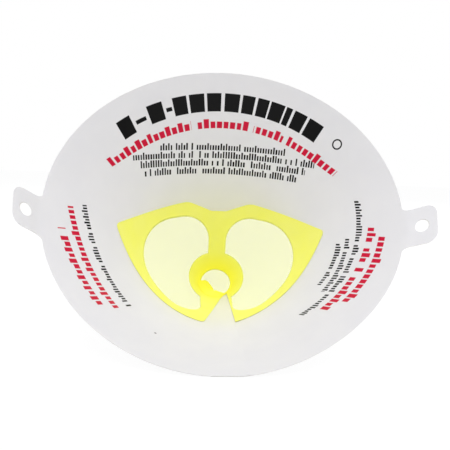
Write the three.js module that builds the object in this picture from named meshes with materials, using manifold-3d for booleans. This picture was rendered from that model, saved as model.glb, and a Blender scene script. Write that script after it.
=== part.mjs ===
// Paint strainer: a cone rolled from one flat blank of coated card and glued along a lap seam.
// Two rounded windows flank a straight rib, a ring with a small hole makes the tip, and two
// punched ears stand out from the rim. One sheet of fine nylon mesh is glued inside the cone
// over the windows and the tip.
//
// Millimetres, +Z up. Both sheets are drawn flat, as they are die-cut, and then folded round
// the cone facet by facet. The flat drawing has the tip at the origin and the rib along +X.
// The cone lies on its seam, as it comes to rest, with its mouth facing -Y and upwards.

import * as THREE from 'three';
import { mergeVertices } from 'three/addons/utils/BufferGeometryUtils.js';
import Module from 'manifold-3d';

const wasm = await Module();
wasm.setup();

// Cone
const slantLength = 135;
const halfAngle = THREE.MathUtils.degToRad(38.5);
const facetStep = THREE.MathUtils.degToRad(9);
const facetsPerSide = 19;
const facetsPastSeam = 7;

// Card blank
const cardThickness = 0.3;
const seamAngle = THREE.MathUtils.degToRad(113.7);
const innerEndReach = 6.4;
const outerEndReach = 1.2;
const seamRampWidth = 6;
const fuseOverlap = 0.02;
const tipHoleRadius = 14.8;
const ringRadius = 26.6;
const rimPointsPerHalf = 19;

// Windows, measured on the flat blank
const ribWidth = 10.4;
const windowTop = 51.6;
const windowSide = 61.2;
const windowSeamMargin = 16.7;
const windowInnerRadius = 17;
const windowOuterRadius = 32;
const windowSeamRadius = 6.5;

// Ears
const earAngle = THREE.MathUtils.degToRad(62.3);
const earWidth = 20;
const earReach = 15.6;
const earCornerRadius = 5;
const earRootRadius = 4.5;
const earHoleRadius = 3.3;
const earHoleReach = 8.6;

// Mesh sheet
const meshThickness = 0.25;
const meshClearance = 0.3;
const meshSideTop = 71.5;
const meshSideBottom = 67;
const meshShoulder = 60.2;
const meshCornerTop = 54;
const meshNotchDepth = 6.4;
const meshNotchWidth = 9;
const meshShoulderWidth = 38;
const meshCornerRadius = 2.5;
const meshShoulderRadius = 9;
const meshSeamOverhang = 11;
const meshBottom = 19;
const meshEndSetback = 0.5;
const meshWeldLength = 17;
const meshWeldHalfWidth = 3;

// Loose corner of mesh folded over the tip hole, as distances and angles from the tip
const cornerReach = 18;
const cornerStart = THREE.MathUtils.degToRad(76);
const cornerEnd = THREE.MathUtils.degToRad(135);
const cornerCrease = 1.5;

// Segments of the drawn arcs
const cornerArcStep = THREE.MathUtils.degToRad(22.5);
const earArcSteps = 5;
const earHoleSteps = 20;
const ringArcSteps = 10;
const looseCornerSteps = 8;

// Points that lie this close to a flat facet are merged into it.
const flatTolerance = 0.002;
const weldTolerance = 1e-5;
const scoreTolerance = 1e-6;

const cardMaterial = new THREE.MeshStandardMaterial({ color: 0xecebea, roughness: 0.55, metalness: 0 });
const meshMaterial = new THREE.MeshStandardMaterial({ color: 0xeff03e, roughness: 0.6, metalness: 0 });

// Ridge lines between the flat facets: turn round the axis, and angle in the flat drawing.
// The facet on the seam is twice as wide, which gives the cone a flat to lie on.
function ridgeLines() {
  const flatStep = (turn) =>
    Math.acos(Math.sin(halfAngle) ** 2 * Math.cos(turn) + Math.cos(halfAngle) ** 2);
  const ridges = [{ turn: 0, flat: 0 }];
  const facetsDrawn = facetsPerSide + facetsPastSeam;
  for (let index = 1; index <= facetsDrawn; index++) {
    const last = ridges[ridges.length - 1];
    const step = index === facetsPerSide + 1 ? 2 * (Math.PI - facetsPerSide * facetStep) : facetStep;
    ridges.push({ turn: last.turn + step, flat: last.flat + flatStep(step) });
  }
  const mirrored = ridges.slice(1).map(({ turn, flat }) => ({ turn: -turn, flat: -flat }));
  return [...mirrored.reverse(), ...ridges];
}

const ridges = ridgeLines();
const seamFacet = ridges.findIndex(({ turn }) => turn > facetsPerSide * facetStep - facetStep / 2);
const closingAngle = (ridges[seamFacet].flat + ridges[seamFacet + 1].flat) / 2;
const seamFacetHalfTurn = (ridges[seamFacet + 1].turn - ridges[seamFacet].turn) / 2;

const onRay = (angle, distance) => new THREE.Vector2(Math.cos(angle), Math.sin(angle)).multiplyScalar(distance);

// A straight cut edge of the blank: its direction, and how far it passes beyond the tip.
function endLine(angle, reach, side) {
  const direction = onRay(side * angle, 1);
  const normal = new THREE.Vector2(direction.y, -direction.x).multiplyScalar(side);
  return { direction, normal, origin: normal.clone().multiplyScalar(-reach) };
}

const pointOnLine = (line, distance) => {
  const along = Math.sqrt(distance ** 2 - line.origin.lengthSq());
  return line.origin.clone().addScaledVector(line.direction, along);
};

const crossing = (first, second) => {
  const between = second.origin.clone().sub(first.origin);
  const along = between.cross(second.direction) / first.direction.cross(second.direction);
  return first.origin.clone().addScaledVector(first.direction, along);
};

// An outline through corner points, each rounded by its own radius.
function roundedOutline(corners) {
  const outline = [];
  corners.forEach((corner, index) => {
    const point = corner.point;
    if (!corner.radius) {
      outline.push(point);
      return;
    }
    const before = corners[(index + corners.length - 1) % corners.length].point.clone().sub(point);
    const after = corners[(index + 1) % corners.length].point.clone().sub(point);
    const bend = Math.acos(before.dot(after) / (before.length() * after.length()));
    const setback = corner.radius / Math.tan(bend / 2);
    const start = point.clone().addScaledVector(before.normalize(), setback);
    const end = point.clone().addScaledVector(after.normalize(), setback);
    const middle = before.clone().add(after).normalize();
    const centre = point.clone().addScaledVector(middle, corner.radius / Math.sin(bend / 2));
    const from = start.clone().sub(centre).angle();
    let sweep = end.clone().sub(centre).angle() - from;
    sweep -= Math.round(sweep / (2 * Math.PI)) * 2 * Math.PI;
    const steps = Math.max(2, Math.ceil(Math.abs(sweep) / cornerArcStep));
    for (let step = 0; step <= steps; step++) {
      outline.push(centre.clone().add(onRay(from + (sweep * step) / steps, corner.radius)));
    }
  });
  return outline;
}

function arc(radius, from, to, steps) {
  return Array.from({ length: steps + 1 }, (_, step) => onRay(from + ((to - from) * step) / steps, radius));
}

const mirror = (points) => points.map(({ x, y }) => new THREE.Vector2(x, -y));

// Half of the card blank, from the middle of the rib to the end at the seam.
function halfBlank(endReach) {
  const end = endLine(seamAngle, endReach, 1);
  const rimEnd = pointOnLine(end, slantLength);
  const tipEnd = pointOnLine(end, tipHoleRadius);

  const earOut = onRay(earAngle, 1);
  const earAcross = onRay(earAngle + Math.PI / 2, 1);
  const earPoint = (across, reach) =>
    earAcross.clone().multiplyScalar(across).addScaledVector(earOut, reach);
  const halfWidth = earWidth / 2;
  const rootCentreAcross = halfWidth + earRootRadius;
  const rootCentreReach = Math.sqrt((slantLength + earRootRadius) ** 2 - rootCentreAcross ** 2);
  const rootAngle = Math.atan2(rootCentreAcross, rootCentreReach);
  const rootArc = (side) => {
    const centre = earPoint(side * rootCentreAcross, rootCentreReach);
    const rimSide = centre.clone().multiplyScalar(-1).angle();
    const earSide = earAcross.clone().multiplyScalar(-side).angle();
    let sweep = earSide - rimSide;
    sweep -= Math.round(sweep / (2 * Math.PI)) * 2 * Math.PI;
    return arc(earRootRadius, rimSide, rimSide + sweep, earArcSteps).map((point) => point.add(centre));
  };
  const outerReach = slantLength + earReach;
  const crown = (side) => {
    const centre = earPoint(side * (halfWidth - earCornerRadius), outerReach - earCornerRadius);
    const [from, to] = side < 0 ? [-Math.PI / 2, 0] : [0, Math.PI / 2];
    return arc(earCornerRadius, earAngle + from, earAngle + to, earArcSteps).map((point) => point.add(centre));
  };

  const rimSteps = (from, to) => Math.max(1, Math.round((rimPointsPerHalf * (to - from)) / seamAngle));
  const firstRim = earAngle - rootAngle;
  const lastRim = earAngle + rootAngle;
  const blank = new THREE.Shape([
    ...arc(tipHoleRadius, tipEnd.angle(), 0, ringArcSteps),
    ...arc(slantLength, 0, firstRim, rimSteps(0, firstRim)),
    ...rootArc(-1).slice(1),
    ...crown(-1),
    ...crown(1),
    ...rootArc(1).reverse(),
    ...arc(slantLength, lastRim, rimEnd.angle(), rimSteps(lastRim, rimEnd.angle())).slice(1),
  ]);

  const windowEdge = endLine(seamAngle, innerEndReach - windowSeamMargin, 1);
  const sideEdge = { origin: new THREE.Vector2(0, windowSide), direction: new THREE.Vector2(1, 0) };
  const ringAtRib = Math.asin(ribWidth / 2 / ringRadius);
  const ringAtSeam = pointOnLine(windowEdge, ringRadius);
  const opening = roundedOutline([
    { point: onRay(ringAtRib, ringRadius) },
    { point: new THREE.Vector2(windowTop, ribWidth / 2), radius: windowInnerRadius },
    { point: new THREE.Vector2(windowTop, windowSide), radius: windowOuterRadius },
    { point: crossing(windowEdge, sideEdge), radius: windowSeamRadius },
    { point: ringAtSeam },
  ]);
  const ringArc = arc(ringRadius, ringAtSeam.angle(), ringAtRib, ringArcSteps).slice(1, -1);
  blank.holes.push(new THREE.Path([...opening, ...ringArc]));
  const earHole = new THREE.Path();
  const holeCentre = onRay(earAngle, slantLength + earHoleReach);
  const holeEdge = arc(earHoleRadius, 0, 2 * Math.PI, earHoleSteps).slice(0, -1);
  earHole.setFromPoints(holeEdge.map((point) => point.add(holeCentre)));
  blank.holes.push(earHole);
  return blank;
}

// Half of the mesh sheet. The inner end runs over the seam and the outer end stops at it.
function halfMesh(overSeam) {
  const halfNotch = meshNotchWidth / 2;
  const halfShoulder = meshShoulderWidth / 2;
  const notchFloor = meshShoulder - meshNotchDepth;
  const weldPoint = onRay(closingAngle, meshWeldLength);
  const topCorners = [
    { point: new THREE.Vector2(0, 0) },
    { point: new THREE.Vector2(notchFloor, 0) },
    { point: new THREE.Vector2(notchFloor, halfNotch), radius: meshShoulderRadius / 2 },
    { point: new THREE.Vector2(meshShoulder, halfShoulder), radius: meshShoulderRadius },
    { point: new THREE.Vector2(meshCornerTop, meshSideTop), radius: meshCornerRadius },
  ];
  const side = {
    origin: new THREE.Vector2(meshCornerTop, meshSideTop),
    direction: new THREE.Vector2(-meshBottom - meshCornerTop, meshSideBottom - meshSideTop),
  };
  if (overSeam) {
    return new THREE.Shape(roundedOutline([
      ...topCorners,
      { point: new THREE.Vector2(-meshBottom, meshSideBottom), radius: meshCornerRadius },
      { point: new THREE.Vector2(-meshSeamOverhang, meshWeldLength + meshWeldHalfWidth) },
      { point: new THREE.Vector2(-meshSeamOverhang, meshWeldLength - meshWeldHalfWidth) },
      { point: weldPoint },
    ]));
  }
  const edge = endLine(2 * closingAngle - seamAngle, 0, 1);
  edge.origin = edge.normal.clone().multiplyScalar(innerEndReach + meshEndSetback);
  const stop = pointOnLine(edge, meshWeldLength);
  return new THREE.Shape(roundedOutline([
    ...topCorners,
    { point: crossing(edge, side) },
    { point: stop },
    { point: weldPoint },
  ]));
}

// The loose corner of mesh that laps over the tip hole beside the seam.
function looseCorner() {
  return new THREE.Shape([
    onRay(cornerStart, cornerCrease),
    onRay(cornerEnd, cornerCrease),
    ...arc(cornerReach, cornerEnd, cornerStart, looseCornerSteps),
  ]);
}

// A flat sheet as indexed triangles.
function flatSheet(shape, bottom, thickness) {
  const solid = new THREE.ExtrudeGeometry(shape, { depth: thickness, bevelEnabled: false, curveSegments: 1 });
  solid.translate(0, 0, bottom);
  solid.deleteAttribute('normal');
  solid.deleteAttribute('uv');
  const merged = mergeVertices(solid, weldTolerance);
  const position = merged.getAttribute('position');
  const points = Array.from({ length: position.count }, (_, index) =>
    new THREE.Vector3().fromBufferAttribute(position, index));
  const faces = [];
  for (let index = 0; index < merged.index.count; index += 3) {
    faces.push([0, 1, 2].map((corner) => merged.index.getX(index + corner)));
  }
  return { points, faces };
}

// Splits the faces of a sheet along a line that leaves `origin`, so that it can fold there.
function scoreSheet(sheet, origin, direction) {
  const offset = sheet.points.map((point) => {
    const across = direction.x * (point.y - origin.y) - direction.y * (point.x - origin.x);
    return Math.abs(across) < scoreTolerance ? 0 : across;
  });
  const cuts = new Map();
  const cutPoint = (first, second) => {
    const [low, high] = first < second ? [first, second] : [second, first];
    const key = `${low} ${high}`;
    if (!cuts.has(key)) {
      const share = offset[low] / (offset[low] - offset[high]);
      const point = sheet.points[low].clone().lerp(sheet.points[high], share);
      const along = (point.x - origin.x) * direction.x + (point.y - origin.y) * direction.y;
      cuts.set(key, along > 0 ? sheet.points.push(point) - 1 : -1);
    }
    return cuts.get(key);
  };
  const scored = [];
  for (const face of sheet.faces) {
    const ring = [];
    let split = false;
    for (let corner = 0; corner < 3; corner++) {
      const here = face[corner];
      const next = face[(corner + 1) % 3];
      ring.push({ index: here, side: Math.sign(offset[here]) });
      if (offset[here] * offset[next] < 0) {
        const cut = cutPoint(here, next);
        if (cut >= 0) {
          ring.push({ index: cut, side: 0 });
          split = true;
        }
      }
    }
    if (!split) {
      scored.push(face);
      continue;
    }
    for (const side of [1, -1]) {
      const part = ring.filter((entry) => entry.side !== -side).map((entry) => entry.index);
      for (let corner = 1; corner + 1 < part.length; corner++) {
        scored.push([part[0], part[corner], part[corner + 1]]);
      }
    }
  }
  return { points: sheet.points, faces: scored };
}

const ridgeDirection = ({ turn }) => new THREE.Vector3(
  -Math.sin(halfAngle) * Math.sin(turn),
  Math.sin(halfAngle) * Math.cos(turn),
  Math.cos(halfAngle),
);

// Folds a flat point round the cone. Its height above the drawing becomes depth into the cone.
function foldPoint(point, lift) {
  const angle = Math.atan2(point.y, point.x);
  let facet = ridges.findIndex(({ flat }) => flat > angle) - 1;
  facet = Math.min(Math.max(facet, 0), ridges.length - 2);
  const [first, second] = [ridges[facet], ridges[facet + 1]];
  const [firstRay, secondRay] = [onRay(first.flat, 1), onRay(second.flat, 1)];
  const area = firstRay.cross(secondRay);
  const flat = new THREE.Vector2(point.x, point.y);
  const folded = ridgeDirection(first).multiplyScalar(flat.cross(secondRay) / area);
  folded.addScaledVector(ridgeDirection(second), firstRay.cross(flat) / area);
  folded.z += (point.z + lift(flat)) / Math.sin(halfAngle);
  return folded;
}

// Scores a flat sheet along every ridge and folds it into a solid.
function foldSheet(sheet, creases = [], lift = () => 0) {
  const tip = new THREE.Vector2(0, 0);
  let scored = sheet;
  for (const { flat } of ridges) {
    if (Math.abs(flat) < Math.PI) scored = scoreSheet(scored, tip, onRay(flat, 1));
  }
  for (const { origin, direction } of creases) scored = scoreSheet(scored, origin, direction);
  const vertProperties = new Float32Array(scored.points.flatMap((point) => foldPoint(point, lift).toArray()));
  const triVerts = new Uint32Array(scored.faces.flat());
  return new wasm.Manifold(new wasm.Mesh({ numProp: 3, vertProperties, triVerts })).simplify(flatTolerance);
}

function mirrorShape(shape) {
  const outline = mirror(shape.getPoints()).reverse();
  const mirrored = new THREE.Shape(outline);
  mirrored.holes = shape.holes.map((hole) => new THREE.Path(mirror(hole.getPoints()).reverse()));
  return mirrored;
}

function meshFromSolid(solid, name, material) {
  const { vertProperties, triVerts } = solid.asOriginal().simplify(flatTolerance).getMesh();
  const geometry = new THREE.BufferGeometry();
  geometry.setAttribute('position', new THREE.BufferAttribute(new Float32Array(vertProperties), 3));
  geometry.setIndex(new THREE.BufferAttribute(new Uint32Array(triVerts), 1));
  geometry.computeVertexNormals();
  const mesh = new THREE.Mesh(geometry, material);
  mesh.name = name;
  return mesh;
}

// The card cone. Its outer end drops below the inner end at the seam, and the lap is glued.
function strainerCone() {
  const innerHalf = foldSheet(flatSheet(halfBlank(innerEndReach), 0, cardThickness));
  const lapEdge = endLine(2 * closingAngle - seamAngle, 0, -1);
  lapEdge.origin = lapEdge.normal.clone().multiplyScalar(innerEndReach);
  const rampStart = {
    origin: lapEdge.origin.clone().addScaledVector(lapEdge.normal, seamRampWidth),
    direction: lapEdge.direction,
  };
  const drop = cardThickness - fuseOverlap;
  const lapDrop = (point) => {
    if (point.y > 0) return 0;
    const distance = point.clone().sub(lapEdge.origin).dot(lapEdge.normal);
    return -drop * THREE.MathUtils.clamp(1 - distance / seamRampWidth, 0, 1);
  };
  const outerSheet = flatSheet(mirrorShape(halfBlank(outerEndReach)), 0, cardThickness);
  const outerHalf = foldSheet(outerSheet, [lapEdge, rampStart], lapDrop);
  return meshFromSolid(innerHalf.add(outerHalf), 'strainer_cone', cardMaterial);
}

// The mesh sheet glued to the inside, with its loose corner lapped over the tip hole.
function filterMesh() {
  const bottom = cardThickness + meshClearance;
  const innerHalf = foldSheet(flatSheet(halfMesh(true), bottom, meshThickness));
  const outerHalf = foldSheet(flatSheet(mirrorShape(halfMesh(false)), bottom, meshThickness));
  const cornerBottom = bottom + meshThickness - fuseOverlap;
  const corner = foldSheet(flatSheet(looseCorner(), cornerBottom, meshThickness));
  return meshFromSolid(innerHalf.add(outerHalf).add(corner), 'filter_mesh', meshMaterial);
}

const strainer = new THREE.Group();
strainer.add(strainerCone(), filterMesh());

// The cone is turned onto its seam facet, whose middle line is a little steeper than the ridges.
const seamFacetAngle = Math.atan(Math.tan(halfAngle) * Math.cos(seamFacetHalfTurn));
strainer.rotation.x = Math.PI / 2 - seamFacetAngle;
strainer.updateMatrixWorld(true);
const extent = new THREE.Box3().setFromObject(strainer, true);
const middle = extent.getCenter(new THREE.Vector3());
strainer.position.set(-middle.x, -middle.y, -extent.min.z);

const paintStrainer = new THREE.Group();
paintStrainer.add(strainer);

export default paintStrainer;
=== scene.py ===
"""Looks of a disposable paint strainer: a rolled card cone with a yellow mesh sheet glued inside.

Both sheets are drawn flat, as they are die-cut, and folded round the cone. The flat drawing has
the tip at the origin and the rib along +X. Lengths are in metres, and the shaders read the
flat drawing in millimetres from each sheet's UV map.
"""

import math

import bmesh
import bpy
from mathutils import Matrix, Vector


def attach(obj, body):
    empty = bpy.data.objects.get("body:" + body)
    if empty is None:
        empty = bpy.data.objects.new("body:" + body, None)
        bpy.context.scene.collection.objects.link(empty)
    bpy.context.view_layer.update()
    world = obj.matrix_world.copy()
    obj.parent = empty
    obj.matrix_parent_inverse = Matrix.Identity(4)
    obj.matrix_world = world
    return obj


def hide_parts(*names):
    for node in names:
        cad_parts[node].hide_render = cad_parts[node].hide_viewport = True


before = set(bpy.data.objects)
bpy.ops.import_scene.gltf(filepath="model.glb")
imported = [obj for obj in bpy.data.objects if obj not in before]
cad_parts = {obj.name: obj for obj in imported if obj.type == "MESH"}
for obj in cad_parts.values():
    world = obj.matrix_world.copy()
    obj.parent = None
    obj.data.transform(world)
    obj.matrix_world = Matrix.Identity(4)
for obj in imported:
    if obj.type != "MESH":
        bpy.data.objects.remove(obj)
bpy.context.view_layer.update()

MM = 0.001

# Cone, with the tip's place in the shared frame
SLANT_LENGTH = 135 * MM
HALF_ANGLE = math.radians(38.5)
CLOSING_ANGLE = math.radians(112.024)
SEAM_FLAT_TURN = math.radians(5)
SEAM_FLAT_ANGLE = math.atan(math.tan(HALF_ANGLE) * math.cos(SEAM_FLAT_TURN))
SEAM_FLAT_SOFTNESS = 0.0008
TIP = Vector((0, 67.714, 0.3)) * MM

# Where this cone is out of true: its mouth leans, and one side is pressed in
MOUTH_LEAN = 0.8 * MM
DENT_TURN = math.radians(-145)
DENT_SHARE = 0.017
DENT_SHARPNESS = 10

# Card blank
CARD_THICKNESS = 0.3 * MM
SEAM_ANGLE = math.radians(113.7)
INNER_END_REACH = 6.4 * MM
OUTER_END_REACH = 1.2 * MM
LAP_DROP = 0.28 * MM
LAP_RAMP = 6 * MM
TIP_HOLE_RADIUS = 14.8 * MM
RING_RADIUS = 26.6 * MM

# Windows
RIB_WIDTH = 10.4 * MM
WINDOW_TOP = 51.6 * MM
WINDOW_SIDE = 61.2 * MM
WINDOW_SEAM_MARGIN = 16.7 * MM
WINDOW_INNER_RADIUS = 17 * MM
WINDOW_OUTER_RADIUS = 32 * MM
WINDOW_SEAM_RADIUS = 13 * MM

# Ears
EAR_ANGLE = math.radians(62.3)
EAR_WIDTH = 20 * MM
EAR_REACH = 15.6 * MM
EAR_CORNER_RADIUS = 5 * MM
EAR_ROOT_RADIUS = 4.5 * MM
EAR_HOLE_RADIUS = 3.3 * MM
EAR_HOLE_REACH = 8.6 * MM
EAR_RIM_GAP = math.radians(1)
LEFT_EAR_BEND = math.radians(7)
RIGHT_EAR_BEND = math.radians(-6)
EAR_BEND_LENGTH = 5 * MM

# Mesh sheet
MESH_THICKNESS = 0.15 * MM
MESH_CLEARANCE = 0.08 * MM
MESH_SIDE_TOP = 71.5 * MM
MESH_SIDE_BOTTOM = 67 * MM
MESH_SHOULDER = 60.2 * MM
MESH_CORNER_TOP = 54 * MM
MESH_NOTCH_DEPTH = 6.4 * MM
MESH_NOTCH_WIDTH = 9 * MM
MESH_SHOULDER_WIDTH = 38 * MM
MESH_CORNER_RADIUS = 2.5 * MM
MESH_SHOULDER_RADIUS = 9 * MM
MESH_SEAM_OVERHANG = 11 * MM
MESH_BOTTOM = 19 * MM
MESH_END_SETBACK = 0.5 * MM
MESH_WELD_LENGTH = 17 * MM
MESH_WELD_HALF_WIDTH = 3 * MM
MESH_LIFT = 0.06 * MM
MESH_LIFT_START = 15 * MM
MESH_LIFT_RAMP = 12 * MM
RIPPLE_HEIGHT = 0.06 * MM
RIPPLE_OVER_X = 0.17 / MM
RIPPLE_SLANT = 0.05 / MM
RIPPLE_OVER_Y = 0.11 / MM
RIPPLE_START = 1.3

# Loose corner of mesh over the tip hole
CORNER_REACH = 18 * MM
CORNER_START = math.radians(58)
CORNER_BULGE = math.radians(18)
CORNER_BULGE_REACH = 9.5 * MM
CORNER_BULGE_RADIUS = 6 * MM
CORNER_END = math.radians(135)
CORNER_CREASE = 1.5 * MM
CORNER_LIFT = 0.5 * MM
CORNER_LIFT_TURN = math.radians(40)
CORNER_OVERLAP = 0.95

# How finely the flat sheets are drawn and cut before they are folded
SCORE_STEP = math.radians(1)
TIP_HOLE_STEPS = 120
EAR_HOLE_STEPS = 32
ARC_STEPS = 24
ROUND_STEPS = 10
WINDOW_ROUND_STEPS = 16
MESH_ROUND_STEPS = 6
EAR_CUTS = 10
EAR_CUT_START = 1.5 * MM
PAST_RIM = 0.1 * MM
MESH_CUT_STEP = 4 * MM
MESH_CUTS_EACH_WAY = 18
CORNER_CUT_STEP = 2 * MM
CORNER_CUTS_EACH_WAY = 9
CUT_TOLERANCE = 1e-7
WELD_TOLERANCE = 1e-6
ON_RAY_TOLERANCE = 2e-5
SHARP_ANGLE = math.radians(35)


def on_ray(angle, distance):
    return Vector((math.cos(angle), math.sin(angle), 0)) * distance


def turn_of(point):
    return math.atan2(point.y, point.x)


def fold(point):
    """Moves a point of the flat drawing onto the cone. Its height becomes depth into the cone."""
    distance = math.hypot(point.x, point.y)
    turn = turn_of(point) * math.pi / CLOSING_ANGLE
    from_seam = min(abs(math.pi - abs(turn)), 1)
    chord = math.cos(SEAM_FLAT_TURN) / math.cos(from_seam)
    radial = (1 + chord - math.sqrt((1 - chord) ** 2 + SEAM_FLAT_SOFTNESS ** 2)) / 2
    radial *= 1 - DENT_SHARE * max(0, math.cos(turn - DENT_TURN)) ** DENT_SHARPNESS
    ear = max(0, distance - SLANT_LENGTH)
    wall = distance - ear
    bend = (LEFT_EAR_BEND if turn > 0 else RIGHT_EAR_BEND) * min(1, ear / EAR_BEND_LENGTH)
    ear_angle = HALF_ANGLE - bend
    across = (wall * math.sin(HALF_ANGLE) + ear * math.sin(ear_angle)) * radial
    along = wall * math.cos(HALF_ANGLE) + ear * math.cos(ear_angle) + point.z / math.sin(HALF_ANGLE)
    rolled = Vector((-across * math.sin(turn), across * math.cos(turn), along))
    lean = Vector((MOUTH_LEAN * distance / SLANT_LENGTH, 0, 0))
    return Matrix.Rotation(math.pi / 2 - SEAM_FLAT_ANGLE, 3, "X") @ rolled + TIP + lean


def end_line(angle, reach, side):
    """A straight edge of a sheet: where it starts beside the tip, its direction and its normal."""
    direction = on_ray(side * angle, 1)
    normal = Vector((direction.y, -direction.x, 0)) * side
    return normal * -reach, direction, normal


def point_on_line(line, distance):
    """The point of a line that lies at a distance from the tip."""
    origin, direction, _ = line
    return origin + direction * math.sqrt(distance ** 2 - origin.length_squared)


def crossing(first, second):
    between = second[0] - first[0]
    turn = first[1].x * second[1].y - first[1].y * second[1].x
    along = (between.x * second[1].y - between.y * second[1].x) / turn
    return first[0] + first[1] * along


def arc(radius, start, end, steps):
    return [on_ray(start + (end - start) * step / steps, radius) for step in range(steps + 1)]


def mirrored_corners(corners):
    """The same corners on the other side of the rib."""
    flipped = []
    for corner in reversed(corners):
        point = corner if isinstance(corner, Vector) else corner[0]
        point = Vector((point.x, -point.y, 0))
        flipped.append(point if isinstance(corner, Vector) else (point, corner[1]))
    return flipped


def rounded_loop(sheet, corners, steps=ROUND_STEPS):
    """Adds a closed outline. Each corner is a point, or a point with the radius of its round."""
    plain = [corner if isinstance(corner, Vector) else corner[0] for corner in corners]
    verts = [sheet.verts.new(point) for point in plain]
    sheet.faces.new(verts)
    rounds = []
    for index, corner in enumerate(corners):
        if isinstance(corner, Vector):
            continue
        before = (plain[index - 1] - plain[index]).normalized()
        after = (plain[(index + 1) % len(plain)] - plain[index]).normalized()
        bend = math.acos(max(-1, min(1, before.dot(after))))
        rounds.append((verts[index], corner[1] / math.tan(bend / 2)))
    for vert, setback in rounds:
        bmesh.ops.bevel(
            sheet,
            geom=[vert],
            offset=setback,
            offset_type="OFFSET",
            segments=steps,
            profile=0.5,
            affect="VERTICES",
            material=-1,
        )
    for face in list(sheet.faces):
        bmesh.ops.delete(sheet, geom=[face], context="FACES_ONLY")


def fill_sheet(sheet):
    bmesh.ops.triangle_fill(sheet, use_beauty=True, edges=sheet.edges[:], normal=(0, 0, 1))


def cut_sheet(sheet, point, normal, faces=None):
    """Cuts the sheet, or only some of its faces, along a straight line."""
    if faces is None:
        geometry = [*sheet.verts, *sheet.edges, *sheet.faces]
    else:
        verts = dict.fromkeys(vert for face in faces for vert in face.verts)
        edges = dict.fromkeys(edge for face in faces for edge in face.edges)
        geometry = [*verts, *edges, *faces]
    bmesh.ops.bisect_plane(
        sheet,
        geom=geometry,
        dist=CUT_TOLERANCE,
        plane_co=point,
        plane_no=normal,
    )


def score_sheet(sheet):
    """Cuts a flat sheet along rays from the tip, so that it can fold round the cone."""
    for step in range(round(math.pi / SCORE_STEP)):
        cut_sheet(sheet, (0, 0, 0), on_ray(step * SCORE_STEP, 1))


def cut_squares(sheet, size, each_way):
    for step in range(-each_way, each_way + 1):
        cut_sheet(sheet, (step * size, 0, 0), (1, 0, 0))
        cut_sheet(sheet, (0, step * size, 0), (0, 1, 0))


def lies_on_ray(edge):
    first, second = edge.verts[0].co, edge.verts[1].co
    twice_area = abs(first.x * second.y - first.y * second.x)
    longest = max(first.length, second.length)
    return twice_area < ON_RAY_TOLERANCE * (first - second).length * longest


def join_strips(sheet):
    """Takes out the edges that cross the strips between two rays."""
    inner = [edge for edge in sheet.edges if len(edge.link_faces) == 2 and not lies_on_ray(edge)]
    bmesh.ops.dissolve_edges(sheet, edges=inner, use_verts=False, use_face_split=False)


def thicken_sheet(sheet, bottom, thickness):
    """Gives a flat sheet its thickness and its UV map of the flat drawing in millimetres.

    Its faces take material 0 inside the cone, 1 outside it and 2 along the cut edge.
    """
    bmesh.ops.translate(sheet, verts=sheet.verts[:], vec=(0, 0, bottom))
    top = bmesh.ops.extrude_face_region(sheet, geom=sheet.faces[:], use_keep_orig=True)
    raised = [item for item in top["geom"] if isinstance(item, bmesh.types.BMVert)]
    bmesh.ops.translate(sheet, verts=raised, vec=(0, 0, thickness))
    flat = sheet.loops.layers.uv.new("flat_drawing")
    middle = bottom + thickness / 2
    for face in sheet.faces:
        heights = [vert.co.z for vert in face.verts]
        is_edge = max(heights) - min(heights) > thickness / 2
        face.material_index = 2 if is_edge else int(heights[0] < middle)
        for loop in face.loops:
            loop[flat].uv = (loop.vert.co.x / MM, loop.vert.co.y / MM)


def finish_sheet(sheet, name, materials, lift):
    """Folds the sheet, and makes it a piece that rides with the strainer."""
    for vert in sheet.verts:
        vert.co.z += lift(vert.co)
        vert.co = fold(vert.co)
    bmesh.ops.recalc_face_normals(sheet, faces=sheet.faces[:])
    mesh = bpy.data.meshes.new(name)
    sheet.to_mesh(mesh)
    sheet.free()
    for material in materials:
        mesh.materials.append(material)
    mesh.polygons.foreach_set("use_smooth", [True] * len(mesh.polygons))
    mesh.set_sharp_from_angle(angle=SHARP_ANGLE)
    piece = bpy.data.objects.new(name, mesh)
    bpy.context.scene.collection.objects.link(piece)
    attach(piece, "root")
    return piece


def flat_area(sheet):
    return sum(face.calc_area() for face in sheet.faces)


def window_corners():
    """The window on the positive side of the rib."""
    seam_edge = end_line(SEAM_ANGLE, INNER_END_REACH - WINDOW_SEAM_MARGIN, 1)
    side_edge = (Vector((0, WINDOW_SIDE, 0)), Vector((1, 0, 0)), None)
    rib_turn = math.asin(RIB_WIDTH / 2 / RING_RADIUS)
    ring_turn = turn_of(point_on_line(seam_edge, RING_RADIUS))
    return [
        (Vector((WINDOW_TOP, RIB_WIDTH / 2, 0)), WINDOW_INNER_RADIUS),
        (Vector((WINDOW_TOP, WINDOW_SIDE, 0)), WINDOW_OUTER_RADIUS),
        (crossing(seam_edge, side_edge), WINDOW_SEAM_RADIUS),
        *arc(RING_RADIUS, ring_turn, rib_turn, ARC_STEPS),
    ]


def ear_root():
    """How far out along the ear's middle line its straight sides would meet the rim."""
    return math.sqrt(SLANT_LENGTH ** 2 - (EAR_WIDTH / 2) ** 2)


def ear_corners(side):
    """One ear, as corners from the rim out and back, in the order of a positive turn."""
    out = on_ray(side * EAR_ANGLE, 1)
    across = on_ray(side * EAR_ANGLE + math.pi / 2, EAR_WIDTH / 2)
    root = out * ear_root()
    crown = out * (SLANT_LENGTH + EAR_REACH)
    return [
        (root - across, EAR_ROOT_RADIUS),
        (crown - across, EAR_CORNER_RADIUS),
        (crown + across, EAR_CORNER_RADIUS),
        (root + across, EAR_ROOT_RADIUS),
    ]


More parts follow.
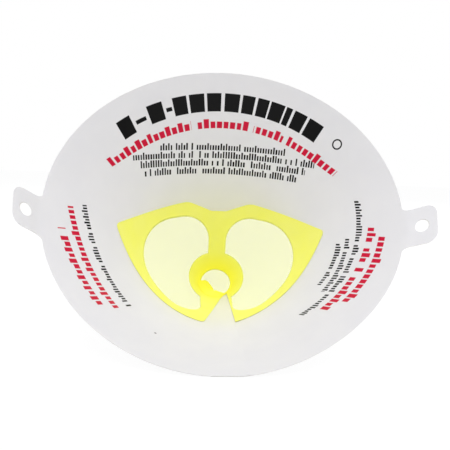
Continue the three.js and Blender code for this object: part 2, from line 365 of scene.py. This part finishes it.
def cut_ears(sheet):
    """Cuts the ears across, so that they can bend."""
    def on_ear(face, side):
        return any(vert.co.length > SLANT_LENGTH + PAST_RIM and vert.co.y * side > 0 for vert in face.verts)
    for side in (1, -1):
        out = on_ray(side * EAR_ANGLE, 1)
        for step in range(EAR_CUTS):
            distance = ear_root() - EAR_CUT_START + step * EAR_REACH / EAR_CUTS
            faces = [face for face in sheet.faces if on_ear(face, side)]
            cut_sheet(sheet, out * distance, out, faces)


def rim(start, end):
    return arc(SLANT_LENGTH, start, end, max(2, round((end - start) / SCORE_STEP)))


def card_sheet():
    sheet = bmesh.new()
    inner_end = end_line(SEAM_ANGLE, INNER_END_REACH, 1)
    outer_end = end_line(SEAM_ANGLE, OUTER_END_REACH, -1)
    inner_rim, inner_tip = [turn_of(point_on_line(inner_end, far)) for far in (SLANT_LENGTH, TIP_HOLE_RADIUS)]
    outer_rim, outer_tip = [turn_of(point_on_line(outer_end, far)) for far in (SLANT_LENGTH, TIP_HOLE_RADIUS)]
    ear_turn = math.asin(EAR_WIDTH / 2 / SLANT_LENGTH) + EAR_RIM_GAP
    rounded_loop(sheet, [
        *arc(TIP_HOLE_RADIUS, inner_tip, outer_tip, TIP_HOLE_STEPS),
        *rim(outer_rim, -EAR_ANGLE - ear_turn),
        *ear_corners(-1),
        *rim(-EAR_ANGLE + ear_turn, EAR_ANGLE - ear_turn),
        *ear_corners(1),
        *rim(EAR_ANGLE + ear_turn, inner_rim),
    ])
    rounded_loop(sheet, window_corners(), WINDOW_ROUND_STEPS)
    rounded_loop(sheet, mirrored_corners(window_corners()), WINDOW_ROUND_STEPS)
    for side in (1, -1):
        centre = on_ray(side * EAR_ANGLE, SLANT_LENGTH + EAR_HOLE_REACH)
        circle = arc(EAR_HOLE_RADIUS, 0, math.tau, EAR_HOLE_STEPS)[:-1]
        rounded_loop(sheet, [centre + point for point in circle])
    fill_sheet(sheet)
    score_sheet(sheet)
    # Joining can take rays out across an ear, so the sheet is scored once more
    join_strips(sheet)
    score_sheet(sheet)
    cut_ears(sheet)
    thicken_sheet(sheet, 0, CARD_THICKNESS)
    return sheet


def lap_lift(point):
    """The outer end of the card passes below the inner end."""
    if point.y > 0:
        return 0
    origin, _, normal = end_line(2 * CLOSING_ANGLE - SEAM_ANGLE, -INNER_END_REACH, -1)
    distance = (point - origin).dot(normal)
    return -LAP_DROP * max(0, min(1, 1 - distance / LAP_RAMP))


def mesh_half(over_seam):
    """Half of the mesh sheet. The inner half runs over the seam, the outer half stops at it."""
    floor = MESH_SHOULDER - MESH_NOTCH_DEPTH
    corner = Vector((MESH_CORNER_TOP, MESH_SIDE_TOP, 0))
    low_corner = Vector((-MESH_BOTTOM, MESH_SIDE_BOTTOM, 0))
    top = [
        Vector((0, 0, 0)),
        Vector((floor, 0, 0)),
        (Vector((floor, MESH_NOTCH_WIDTH / 2, 0)), MESH_SHOULDER_RADIUS / 2),
        (Vector((MESH_SHOULDER, MESH_SHOULDER_WIDTH / 2, 0)), MESH_SHOULDER_RADIUS),
        (corner, MESH_CORNER_RADIUS),
    ]
    weld = on_ray(CLOSING_ANGLE, MESH_WELD_LENGTH)
    if over_seam:
        return [
            *top,
            (low_corner, MESH_CORNER_RADIUS),
            Vector((-MESH_SEAM_OVERHANG, MESH_WELD_LENGTH + MESH_WELD_HALF_WIDTH, 0)),
            Vector((-MESH_SEAM_OVERHANG, MESH_WELD_LENGTH - MESH_WELD_HALF_WIDTH, 0)),
            weld,
        ]
    edge = end_line(2 * CLOSING_ANGLE - SEAM_ANGLE, -(INNER_END_REACH + MESH_END_SETBACK), 1)
    side = (corner, low_corner - corner, None)
    return [*top, crossing(edge, side), point_on_line(edge, MESH_WELD_LENGTH), weld]


def mesh_sheet():
    """The sheet, whose two halves meet along the rib's middle line, and its flat area."""
    sheet = bmesh.new()
    rounded_loop(sheet, mesh_half(True), MESH_ROUND_STEPS)
    fill_sheet(sheet)
    other = bmesh.new()
    rounded_loop(other, mirrored_corners(mesh_half(False)), MESH_ROUND_STEPS)
    fill_sheet(other)
    spare = bpy.data.meshes.new("spare")
    other.to_mesh(spare)
    other.free()
    sheet.from_mesh(spare)
    bpy.data.meshes.remove(spare)
    bmesh.ops.remove_doubles(sheet, verts=sheet.verts[:], dist=WELD_TOLERANCE)
    score_sheet(sheet)
    cut_squares(sheet, MESH_CUT_STEP, MESH_CUTS_EACH_WAY)
    area = flat_area(sheet)
    thicken_sheet(sheet, CARD_THICKNESS + MESH_CLEARANCE, MESH_THICKNESS)
    return sheet, area


def mesh_lift(point):
    """The mesh stands off the card a little, and ripples."""
    ripple = math.sin(point.x * RIPPLE_OVER_X + point.y * RIPPLE_SLANT)
    ripple *= math.sin(point.y * RIPPLE_OVER_Y + RIPPLE_START)
    past_ring = (math.hypot(point.x, point.y) - MESH_LIFT_START) / MESH_LIFT_RAMP
    return (MESH_LIFT + RIPPLE_HEIGHT * ripple) * min(1, max(0, past_ring))


def loose_corner_sheet():
    """The mesh's corner that laps over the tip hole, and its flat area."""
    sheet = bmesh.new()
    rounded_loop(sheet, [
        on_ray(CORNER_START, CORNER_CREASE),
        on_ray(CORNER_END, CORNER_CREASE),
        *arc(CORNER_REACH, CORNER_END, CORNER_START, ARC_STEPS),
        (on_ray(CORNER_START - CORNER_BULGE, CORNER_BULGE_REACH), CORNER_BULGE_RADIUS),
    ])
    fill_sheet(sheet)
    score_sheet(sheet)
    cut_squares(sheet, CORNER_CUT_STEP, CORNER_CUTS_EACH_WAY)
    area = flat_area(sheet)
    bottom = CARD_THICKNESS + MESH_CLEARANCE + MESH_THICKNESS * CORNER_OVERLAP
    thicken_sheet(sheet, bottom, MESH_THICKNESS)
    return sheet, area


def corner_lift(point):
    """The loose corner's free edge stands up a little."""
    rise = max(0, 1 - (turn_of(point) - CORNER_START) / CORNER_LIFT_TURN)
    return CORNER_LIFT * rise ** 2


class Value:
    """A number socket. Arithmetic on it adds Math nodes."""

    def __init__(self, shader, socket):
        self.shader = shader
        self.socket = socket

    def math(self, operation, *others):
        return self.shader.node("ShaderNodeMath", {"operation": operation}, [self, *others])

    def __add__(self, other):
        return self.math("ADD", other)

    __radd__ = __add__

    def __sub__(self, other):
        return self.math("SUBTRACT", other)

    def __rsub__(self, other):
        return self.shader.node("ShaderNodeMath", {"operation": "SUBTRACT"}, [other, self])

    def __mul__(self, other):
        return self.math("MULTIPLY", other)

    __rmul__ = __mul__

    def __truediv__(self, other):
        return self.math("DIVIDE", other)

    def __gt__(self, other):
        return self.math("GREATER_THAN", other)

    def __lt__(self, other):
        return self.math("LESS_THAN", other)

    def above(self, start, softness):
        """0 below start, 1 above it, with a soft edge."""
        settings = {"interpolation_type": "SMOOTHSTEP"}
        inputs = {"Value": self, "From Min": start - softness, "From Max": start + softness}
        return self.shader.node("ShaderNodeMapRange", settings, inputs)


class Shader:
    """The nodes of a material or of the world."""

    def __init__(self, owner):
        self.owner = owner
        owner.use_nodes = True
        self.tree = owner.node_tree
        self.tree.nodes.clear()

    def node(self, kind, settings=None, inputs=None, output=0):
        """Adds a node with its settings and inputs, and returns one of its outputs."""
        node = self.tree.nodes.new(kind)
        for name, value in (settings or {}).items():
            setattr(node, name, value)
        pairs = inputs.items() if isinstance(inputs, dict) else enumerate(inputs or [])
        for name, value in pairs:
            if isinstance(value, Value):
                self.tree.links.new(value.socket, node.inputs[name])
            else:
                node.inputs[name].default_value = value
        return Value(self, node.outputs[output])

    def steps(self, share, stops):
        """A number that jumps at each stop. A stop is a position and the number from there on."""
        node = self.tree.nodes.new("ShaderNodeValToRGB")
        ramp = node.color_ramp
        ramp.interpolation = "CONSTANT"
        while len(ramp.elements) < len(stops):
            ramp.elements.new(1)
        for element, (position, level) in zip(ramp.elements, stops):
            element.position = position
            element.color = (level, level, level, 1)
        self.tree.links.new(share.socket, node.inputs[0])
        return Value(self, node.outputs[0])

    def mix(self, factor, first, second):
        return self.node("ShaderNodeMix", {"data_type": "RGBA"}, {0: factor, 6: first, 7: second}, 2)

    def noise(self, vector, scale, detail):
        return self.node("ShaderNodeTexNoise", None, {"Vector": vector, "Scale": scale, "Detail": detail})

    def random(self, number):
        return self.node("ShaderNodeTexWhiteNoise", {"noise_dimensions": "1D"}, {"W": number})

    def bump(self, height, strength, distance):
        return self.node("ShaderNodeBump", None, {
            "Strength": strength, "Distance": distance, "Height": height,
        })

    def light_path(self, name):
        return self.node("ShaderNodeLightPath", None, None, name)

    def flat_drawing(self):
        """The point's place on the flat sheet, in millimetres: as a vector, and as x and y."""
        place = self.node("ShaderNodeUVMap", {"uv_map": "flat_drawing"})
        x = self.node("ShaderNodeSeparateXYZ", None, [place], "X")
        y = self.node("ShaderNodeSeparateXYZ", None, [place], "Y")
        return place, x, y

    def end(self, surface, output="ShaderNodeOutputMaterial"):
        out = self.tree.nodes.new(output)
        self.tree.links.new(surface.socket, out.inputs["Surface"])
        return self.owner

    def end_paint(self, inputs):
        return self.end(self.node("ShaderNodeBsdfPrincipled", None, inputs))


def material_shader(name):
    return Shader(bpy.data.materials.new(name))


def linear(red, green, blue):
    """A colour given as it looks on a screen, from 0 to 255."""
    steps = [value / 255 for value in (red, green, blue)]
    bent = [step / 12.92 if step <= 0.04045 else ((step + 0.055) / 1.055) ** 2.4 for step in steps]
    return (*bent, 1.0)


CARD_WHITE = linear(233, 232, 234)
CARD_MOTTLE = linear(230, 229, 232)
# Painted light: the yellow that the mesh throws on the card near it
CARD_PAINTED_MESH_LIGHT = linear(234, 233, 205)
CARD_BACK = linear(232, 230, 227)
CARD_BACK_PALE = linear(238, 237, 235)
CARD_EDGE = linear(222, 219, 214)
CARD_EDGE_PALE = linear(240, 238, 235)
INK_BLACK = linear(3, 3, 4)
INK_RED = linear(206, 16, 56)
SPECK_BROWN = linear(88, 72, 84)
MESH_YELLOW = linear(251, 251, 112)
MESH_GLUED = linear(250, 250, 126)
# Strongest yellow: the doubled loose corner's colour, and painted light where the mesh walls light each other
# near the tip
MESH_BRIGHT = linear(255, 250, 74)
MESH_CLEAR = linear(238, 241, 110)

# Painted yellow light on the card round the mesh, standing in for the light the yellow mesh throws on it, out
# to this radius in millimetres
CARD_PAINTED_LIGHT_SHARE = 0.4
CARD_PAINTED_LIGHT_RADIUS = 72
CARD_PAINTED_LIGHT_SOFTNESS = 16

# Nylon: how much it hides, how much light comes through it, and a painted glow that stands in for light
# shining through the thin sheets
WEAVE_PITCH = 0.38
MESH_HIDES_CARD = 0.93
MESH_HIDES_GROUND = 0.27
CORNER_HIDES = 0.88
# Painted light: emission strength of the nylon, as if it were lit through from behind
MESH_PAINTED_GLOW = 0.06
CORNER_PAINTED_GLOW = 0.12
# Painted light: the mesh is brighter and deeper yellow out to this radius from the tip, where the yellow
# walls light each other
PAINTED_TIP_LIGHT_RADIUS = 22
PAINTED_TIP_LIGHT_SOFTNESS = 9
WINDOW_EDGE = 0.6
TIP_HOLE_EDGE = 0.5

# Bold heading marks round the top, as shares of its width: where each block starts and ends.
# Every length of the print is in millimetres and every turn in degrees.
HEADING_BLOCKS = [
    (0.0, 0.068), (0.152, 0.222), (0.268, 0.332), (0.342, 0.408), (0.42, 0.484), (0.497, 0.565),
    (0.578, 0.63), (0.643, 0.692), (0.703, 0.762), (0.772, 0.798), (0.812, 0.868), (0.88, 0.95),
]
HEADING_DASHES = [(0.085, 0.135), (0.232, 0.258)]
HEADING_RADIUS = 113.9
HEADING_HEIGHT = 10.2
HEADING_HALF_TURN = 30.6
DASH_LOW = 0.34 * HEADING_HEIGHT
DASH_HIGH = 0.56 * HEADING_HEIGHT
RING_MARK_PLACE = (101.4, -66.8)
RING_MARK_INNER = 2.1
RING_MARK_OUTER = 2.9

# Rows of small marks on the flat card: start, turn, length, height, pitch, bow
BLACK_ROWS = [
    ((91.5, 37.0), -90.0, 74.5, 4.0, 1.55, 0.0),
    ((86.8, 55.5), -90.0, 111.0, 4.0, 1.55, 0.0),
    ((82.2, 51.0), -90.0, 101.5, 4.0, 1.55, 0.0),
    ((77.4, 47.0), -90.0, 93.5, 4.0, 1.55, 0.0),
    ((8.6, 97.0), -8.5, 58.0, 3.8, 1.5, 0.0),
    ((73.3, -84.3), 189.5, 70.0, 3.7, 1.5, 7.4),
    ((52.9, -87.5), 190.9, 32.0, 3.6, 1.5, 1.7),
    ((49.2, -82.9), 189.7, 25.0, 3.6, 1.5, 1.4),
]
RED_ROWS = [
    ((13.8, 114.9), -10.3, 43.0, 4.8, 3.0, 0.0),
    ((9.5, 107.0), -9.7, 57.5, 4.9, 2.8, 0.0),
    ((57.7, -107.2), 187.1, 39.1, 5.3, 3.0, 2.3),
    ((64.0, -97.5), 187.2, 53.6, 5.3, 2.8, 3.4),
]
RED_ARC_RADIUS = 104.4
RED_ARC_HALF_TURN = 38.8
RED_ARC_HEIGHT = 5.3
RED_ARC_PITCH = 3.7
RED_ARC_GAPS = [(0.37, 0.388), (0.602, 0.618), (0.745, 0.762)]
RED_ARC_BOW = 3.6
RED_ARC_BOW_POWER = 6
SPECKS = [((-10.4, 105.4), 0.55), ((0.0, -62.5), 0.4)]
SPECK_DARKNESS = 0.85
SPECK_EDGE = 0.25

# Small marks: the share of a pitch left blank between marks, and of marks left out
BLACK_SPACING = (0.3, 0.12)
RED_SPACING = (0.18, 0.08)
RED_ARC_SPACING = (0.16, 0.0)
NARROWEST_MARK = 0.78
SHORT_MARK = 0.72
SHORT_MARKS_SHARE = 0.62
INK_EDGE = 0.12
MARK_SIDE_EDGE = 0.06

# The numbers that the random marks of each row start from
BLACK_FIRST_SEED, BLACK_SEED_STEP = 7, 31
RED_FIRST_SEED, RED_SEED_STEP = 5, 17
RED_ARC_SEED = 3

# A ramp's own first stop is at 0, so a block that starts there starts a little later
FIRST_STOP = 0.0005


def distance_of(x, y):
    return (x * x + y * y).math("SQRT")


def blocks(shader, share, spans):
    """1 where a share of the row's width is inside one of the spans."""
    stops = [(0.0, 0)]
    for start, end in spans:
        stops += [(max(start, FIRST_STOP), 1), (end, 0)]
    return shader.steps(share, stops)


def inside(value, low, high):
    return value.above(low, INK_EDGE) * (1 - value.above(high, INK_EDGE))


def small_marks(shader, along, across, length, height, pitch, seed, spacing):
    """A row of plain upright bars of two heights, with gaps between groups."""
    gap, left_out = spacing
    cell = (along / pitch).math("FLOOR")
    within = (along / pitch).math("FRACT")
    random = shader.random(cell + seed)
    width = NARROWEST_MARK + (1 - NARROWEST_MARK) * shader.random(cell - seed)
    half_width = (0.5 - gap / 2) * width
    bar = 1 - ((within - 0.5).math("ABSOLUTE") - half_width).above(0.0, MARK_SIDE_EDGE)
    tall = height * (SHORT_MARK + (1 - SHORT_MARK) * (random > SHORT_MARKS_SHARE))
    band = across.above(0.0, INK_EDGE) * (1 - (across - tall).above(0.0, INK_EDGE))
    return bar * band * (random > left_out) * inside(along, 0, length)


def straight_row(shader, x, y, row, seed, spacing):
    (start_x, start_y), turn, length, height, pitch, bow = row
    cosine, sine = math.cos(math.radians(turn)), math.sin(math.radians(turn))
    along = (x - start_x) * cosine + (y - start_y) * sine
    share = along / length
    across = (x - start_x) * -sine + (y - start_y) * cosine - share * (1 - share) * (4 * bow)
    return small_marks(shader, along, across, length, height, pitch, seed, spacing)


def black_print(shader, x, y, radius, turn):
    share = (HEADING_HALF_TURN - turn) / (2 * HEADING_HALF_TURN)
    across = radius - HEADING_RADIUS
    heading = blocks(shader, share, HEADING_BLOCKS) * inside(across, 0, HEADING_HEIGHT)
    dashes = blocks(shader, share, HEADING_DASHES) * inside(across, DASH_LOW, DASH_HIGH)
    from_ring = distance_of(x - RING_MARK_PLACE[0], y - RING_MARK_PLACE[1])
    ring = inside(from_ring, RING_MARK_INNER, RING_MARK_OUTER)
    black = heading.math("MAXIMUM", dashes).math("MAXIMUM", ring)
    for number, row in enumerate(BLACK_ROWS):
        seed = BLACK_FIRST_SEED + number * BLACK_SEED_STEP
        marks = straight_row(shader, x, y, row, seed, BLACK_SPACING)
        black = black.math("MAXIMUM", marks)
    return black


def red_print(shader, x, y, radius, turn):
    share = (RED_ARC_HALF_TURN - turn) / (2 * RED_ARC_HALF_TURN)
    length = 2 * RED_ARC_RADIUS * math.radians(RED_ARC_HALF_TURN)
    bow = (turn / RED_ARC_HALF_TURN).math("POWER", RED_ARC_BOW_POWER) * RED_ARC_BOW
    across = radius - RED_ARC_RADIUS - bow
    red = small_marks(
        shader, share * length, across, length, RED_ARC_HEIGHT, RED_ARC_PITCH,
        RED_ARC_SEED, RED_ARC_SPACING,
    )
    red = red * (1 - blocks(shader, share, RED_ARC_GAPS))
    for number, row in enumerate(RED_ROWS):
        seed = RED_FIRST_SEED + number * RED_SEED_STEP
        marks = straight_row(shader, x, y, row, seed, RED_SPACING)
        red = red.math("MAXIMUM", marks)
    return red


def printed_card():
    """The coated inside of the card, with its print, two specks of dirt and painted yellow light near the
    mesh.
    """
    shader = material_shader("printed_card")
    place, x, y = shader.flat_drawing()
    radius = distance_of(x, y)
    turn = y.math("ARCTAN2", x) * (180 / math.pi)
    black = black_print(shader, x, y, radius, turn)
    red = red_print(shader, x, y, radius, turn)
    mottle = shader.noise(place, scale=0.06, detail=3.0).above(0.5, 0.3)
    grain = shader.noise(place, scale=2.2, detail=3.0)
    # Painted light: the card turns yellow near the mesh, as if the yellow mesh lit it
    painted_glow = CARD_PAINTED_LIGHT_SHARE * (1 - radius.above(CARD_PAINTED_LIGHT_RADIUS, CARD_PAINTED_LIGHT_SOFTNESS))
    colour = shader.mix(mottle, CARD_WHITE, CARD_MOTTLE)
    colour = shader.mix(painted_glow, colour, CARD_PAINTED_MESH_LIGHT)
    colour = shader.mix(black, colour, INK_BLACK)
    colour = shader.mix(red, colour, INK_RED)
    for (speck_x, speck_y), size in SPECKS:
        spot = 1 - distance_of(x - speck_x, y - speck_y).above(size, SPECK_EDGE)
        colour = shader.mix(spot * SPECK_DARKNESS, colour, SPECK_BROWN)
    return shader.end_paint({
        "Base Color": colour,
        "Roughness": 0.44 + 0.06 * mottle - 0.1 * black.math("MAXIMUM", red),
        "Normal": shader.bump(grain, strength=0.05, distance=0.0002),
        "Specular IOR Level": 0.16,
    })


def card_back():
    """The uncoated outside of the card."""
    shader = material_shader("card_back")
    place, _, _ = shader.flat_drawing()
    fibre = shader.noise(place, scale=1.4, detail=4.0)
    return shader.end_paint({
        "Base Color": shader.mix(fibre.above(0.5, 0.25), CARD_BACK, CARD_BACK_PALE),
        "Roughness": 0.62 + 0.1 * fibre,
        "Normal": shader.bump(fibre, strength=0.12, distance=0.0002),
        "Specular IOR Level": 0.3,
    })


def cut_edge():
    """The die-cut edge of the card, which shows its fibres."""
    shader = material_shader("card_cut_edge")
    place, _, _ = shader.flat_drawing()
    fibre = shader.noise(place, scale=3.0, detail=3.0)
    return shader.end_paint({
        "Base Color": shader.mix(fibre, CARD_EDGE, CARD_EDGE_PALE),
        "Roughness": 0.75 + 0.1 * fibre,
        "Specular IOR Level": 0.2,
    })


def window_mask(x, y):
    """1 where the mesh lies over a window, from the windows' own sizes."""
    side = y.math("ABSOLUTE")
    top, rib, width = WINDOW_TOP / MM, RIB_WIDTH / 2 / MM, WINDOW_SIDE / MM
    margin = (WINDOW_SEAM_MARGIN - INNER_END_REACH) / MM
    normal_x, normal_y = math.sin(SEAM_ANGLE), -math.cos(SEAM_ANGLE)
    to_seam = x * normal_x + side * normal_y - margin
    to_ring = distance_of(x, y) - RING_RADIUS / MM
    distance = (top - x).math("MINIMUM", side - rib).math("MINIMUM", width - side)
    distance = distance.math("MINIMUM", to_seam).math("MINIMUM", to_ring)

    outer = WINDOW_OUTER_RADIUS / MM
    past_x = (x - (top - outer)).math("MAXIMUM", 0)
    past_y = (side - (width - outer)).math("MAXIMUM", 0)
    distance = distance.math("MINIMUM", outer - distance_of(past_x, past_y))

    inner = WINDOW_INNER_RADIUS / MM
    past_x = (x - (top - inner)).math("MAXIMUM", 0)
    past_y = ((rib + inner) - side).math("MAXIMUM", 0)
    distance = distance.math("MINIMUM", inner - distance_of(past_x, past_y))

    seam = WINDOW_SEAM_RADIUS / MM
    centre_y = width - seam
    centre_x = (seam + margin - centre_y * normal_y) / normal_x
    off_x, off_y = x - centre_x, side - centre_y
    in_corner = ((off_y * normal_x - off_x * normal_y) > 0) * (off_x < 0)
    rounded = distance.math("MINIMUM", seam - distance_of(off_x, off_y))
    distance = distance * (1 - in_corner) + rounded * in_corner
    return distance.above(0.0, WINDOW_EDGE)


def weave_of(x, y):
    across = (x * (math.tau / WEAVE_PITCH)).math("SINE")
    along = (y * (math.tau / WEAVE_PITCH)).math("SINE")
    return across * along


def end_nylon(shader, colour, alpha, weave, patches, painted_glow):
    return shader.end_paint({
        "Base Color": colour,
        "Roughness": 0.5 + 0.05 * patches,
        "Alpha": alpha,
        "Normal": shader.bump(weave, strength=0.3, distance=0.0001),
        "Specular IOR Level": 0.3,
        # Painted glow: emission stands in for light shining through the nylon
        "Emission Color": colour,
        "Emission Strength": painted_glow,
    })


def nylon_patches(shader, place):
    return shader.noise(place, scale=0.09, detail=3.0).above(0.5, 0.3)


def nylon_sheet():
    """Yellow nylon weave. Over a window and the tip hole it lets the ground behind show."""
    shader = material_shader("nylon_mesh_sheet")
    place, x, y = shader.flat_drawing()
    weave = weave_of(x, y)
    patches = nylon_patches(shader, place)
    radius = distance_of(x, y)
    # Painted light: brighter, deeper yellow near the tip, standing in for light the yellow walls throw on
    # each other
    tip_painted_light = 1 - radius.above(PAINTED_TIP_LIGHT_RADIUS, PAINTED_TIP_LIGHT_SOFTNESS)
    over_hole = 1 - radius.above(TIP_HOLE_RADIUS / MM, TIP_HOLE_EDGE)
    clear = window_mask(x, y).math("MAXIMUM", over_hole)
    colour = shader.mix(patches, MESH_GLUED, MESH_YELLOW)
    colour = shader.mix(tip_painted_light, colour, MESH_BRIGHT)
    colour = shader.mix(clear, colour, MESH_CLEAR)
    alpha = MESH_HIDES_CARD - clear * (MESH_HIDES_CARD - MESH_HIDES_GROUND) + 0.06 * weave
    return end_nylon(shader, colour, alpha, weave, patches, MESH_PAINTED_GLOW)


def nylon_corner():
    """The same weave where the loose corner doubles it, in its strongest yellow, with a stronger painted glow
    standing in for light shining through it.
    """
    shader = material_shader("nylon_mesh_loose_corner")
    place, x, y = shader.flat_drawing()
    weave = weave_of(x, y)
    alpha = CORNER_HIDES + 0.1 * weave
    return end_nylon(shader, MESH_BRIGHT, alpha, weave, nylon_patches(shader, place), CORNER_PAINTED_GLOW)


card = finish_sheet(card_sheet(), "card_cone", [printed_card(), card_back(), cut_edge()], lap_lift)
mesh_blank, mesh_flat_area = mesh_sheet()
mesh = finish_sheet(mesh_blank, "mesh_sheet", [nylon_sheet()] * 3, mesh_lift)
corner_blank, corner_flat_area = loose_corner_sheet()
corner = finish_sheet(
    corner_blank, "mesh_loose_corner", [nylon_corner()] * 3, corner_lift)
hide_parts("strainer_cone")
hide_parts("filter_mesh")
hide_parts("filter_mesh")

FLOOR_HALF_SIZE = 3
FLOOR_SEEN_WHITE = 0.9
WORLD_STRENGTH = 0.46
CAMERA_PLACE = Vector((-0.00984, -0.2529, 0.08058))
CAMERA_RIGHT = Vector((0.99828, -0.04159, 0.0413))
CAMERA_UP = Vector((-0.03608, 0.11931, 0.9922))
CAMERA_LENS = 40.465
CAMERA_TILT = math.radians(0.13)


def ground_material():
    """White to the camera, apart from a part of the shadow, and plain white paper to the light."""
    shader = material_shader("white_ground")
    seen = shader.light_path("Is Camera Ray")
    for name in ("Is Glossy Ray", "Is Transmission Ray"):
        seen = seen.math("MAXIMUM", shader.light_path(name))
    paper = shader.node("ShaderNodeBsdfDiffuse", None, {"Color": (0.9, 0.9, 0.9, 1)})
    white = shader.node("ShaderNodeEmission", None, {"Color": (1, 1, 1, 1), "Strength": 1.05})
    return shader.end(shader.node("ShaderNodeMixShader", None, [seen * FLOOR_SEEN_WHITE, paper, white]))


def floor():
    sheet = bmesh.new()
    bmesh.ops.create_grid(sheet, x_segments=1, y_segments=1, size=FLOOR_HALF_SIZE)
    mesh = bpy.data.meshes.new("floor")
    sheet.to_mesh(mesh)
    sheet.free()
    mesh.materials.append(ground_material())
    piece = bpy.data.objects.new("floor", mesh)
    bpy.context.scene.collection.objects.link(piece)


def white_world():
    """White to the camera, and a soft cool light to everything else."""
    shader = Shader(bpy.data.worlds.new("white_world"))
    camera_ray = shader.light_path("Is Camera Ray")
    lit = shader.node(
        "ShaderNodeBackground", None, {"Color": (0.96, 0.97, 1.0, 1), "Strength": WORLD_STRENGTH})
    seen = shader.node("ShaderNodeBackground", None, {"Color": (1, 1, 1, 1), "Strength": 1.0})
    mixed = shader.node("ShaderNodeMixShader", None, [camera_ray, lit, seen])
    bpy.context.scene.world = shader.end(mixed, "ShaderNodeOutputWorld")


def lamp(name, place, target, size, power):
    data = bpy.data.lights.new(name, "AREA")
    data.shape = "DISK"
    data.size = size
    data.energy = power
    piece = bpy.data.objects.new(name, data)
    piece.location = place
    piece.rotation_euler = (Vector(target) - Vector(place)).to_track_quat("-Z", "Y").to_euler()
    bpy.context.scene.collection.objects.link(piece)


def camera():
    data = bpy.data.cameras.new("camera")
    data.lens = CAMERA_LENS
    data.sensor_width = 36
    data.clip_start = 0.01
    piece = bpy.data.objects.new("camera", data)
    back = CAMERA_RIGHT.cross(CAMERA_UP)
    turn = Matrix((CAMERA_RIGHT, CAMERA_UP, back)).transposed().to_4x4()
    piece.matrix_world = Matrix.Translation(CAMERA_PLACE) @ turn @ Matrix.Rotation(CAMERA_TILT, 4, "X")
    bpy.context.scene.collection.objects.link(piece)
    bpy.context.scene.camera = piece


floor()
white_world()
lamp("top_lamp", place=(0, -0.3, 0.95), target=(0, 0, 0.03), size=0.9, power=6.2)
lamp("front_lamp", place=(0.08, -1.0, 0.4), target=(0, 0, 0.06), size=0.7, power=1.1)
lamp("back_lamp", place=(0.3, 0.9, 0.7), target=(0, 0, 0.05), size=0.9, power=4.0)
camera()
bpy.context.scene.view_settings.view_transform = "Standard"
